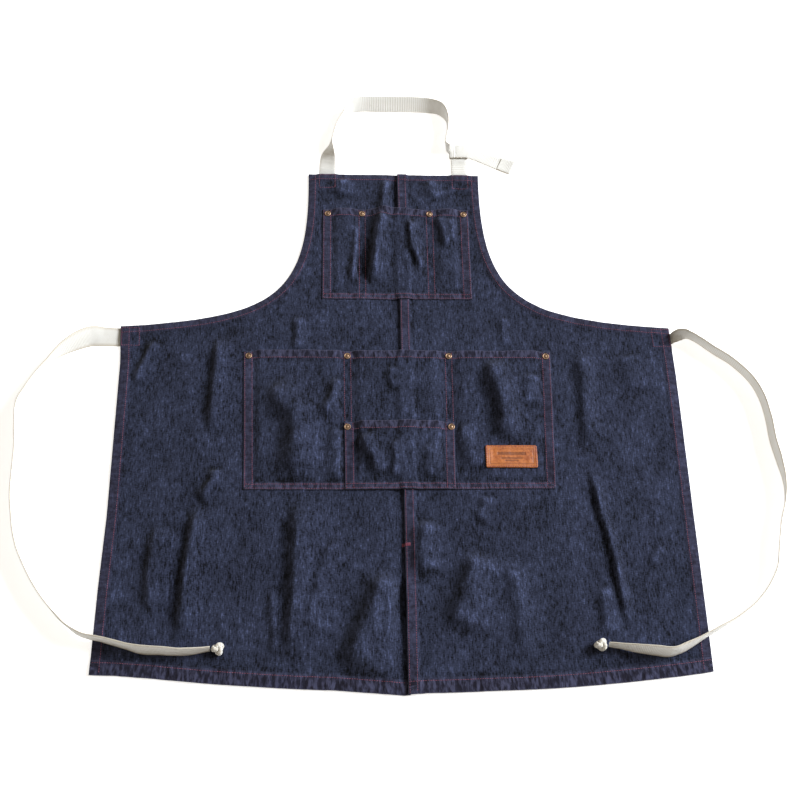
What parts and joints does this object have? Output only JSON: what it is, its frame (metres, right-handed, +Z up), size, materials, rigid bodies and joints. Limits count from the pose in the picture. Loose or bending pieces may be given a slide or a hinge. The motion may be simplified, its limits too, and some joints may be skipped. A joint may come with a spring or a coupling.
{
  "type": "apron",
  "caption": "Bib apron of dark denim laid flat, two halves joined by a centre seam with a vent, patch pockets with copper rivets, a webbing neck strap and knotted waist ties.",
  "frame": {"origin": "on the underside of the centre seam, level with the waistline, where the apron touches the table", "axes": "+Z up out of the apron's front, +Y from the waist towards the bib and neck loop, +X towards the side of the leather label; the apron lies on its back on the plane z = 0"},
  "size_m": [1.1101, 0.9681, 0.0342],
  "materials": {
    "denim": "washed indigo twill, matt",
    "webbing": "off-white cotton webbing, matt",
    "leather": "tan vegetable-tanned leather, low sheen",
    "rivet": "antiqued copper, brushed",
    "thread": "burgundy topstitching thread"
  },
  "bodies": {
    "apron": {"left_panel": "denim", "right_panel": "denim", "bib_pocket": "denim", "waist_pocket": "denim", "small_pocket": "denim", "leather_label": "leather", "vent_bartack": "thread", "neck_strap_sewn_end": "webbing", "neck_tab_sewn_end": "webbing", "left_tie": "webbing", "right_tie": "webbing", "left_tie_knot": "webbing", "right_tie_knot": "webbing", "rivet_cap_1": "rivet", "rivet_cap_2": "rivet", "rivet_cap_3": "rivet", "rivet_cap_4": "rivet", "rivet_cap_5": "rivet", "rivet_cap_6": "rivet", "rivet_cap_7": "rivet", "rivet_cap_8": "rivet", "rivet_cap_9": "rivet", "rivet_cap_10": "rivet", "rivet_burr_1": "rivet", "rivet_burr_2": "rivet", "rivet_burr_3": "rivet", "rivet_burr_4": "rivet", "rivet_burr_5": "rivet", "rivet_burr_6": "rivet", "rivet_burr_7": "rivet", "rivet_burr_8": "rivet", "rivet_burr_9": "rivet", "rivet_burr_10": "rivet"},
    "neck_loop": {"neck_strap": "webbing", "neck_tab": "webbing", "neck_strap_wrap": "webbing", "neck_strap_running_end": "webbing"}
  },
  "joints": [
    {"name": "neck_loop_fold", "type": "hinge", "parent": "apron", "child": "neck_loop", "pos_m": [0, 0.2775, 0.00075], "axis": [1, 0, 0], "range_deg": [0, 90]}
  ]
}
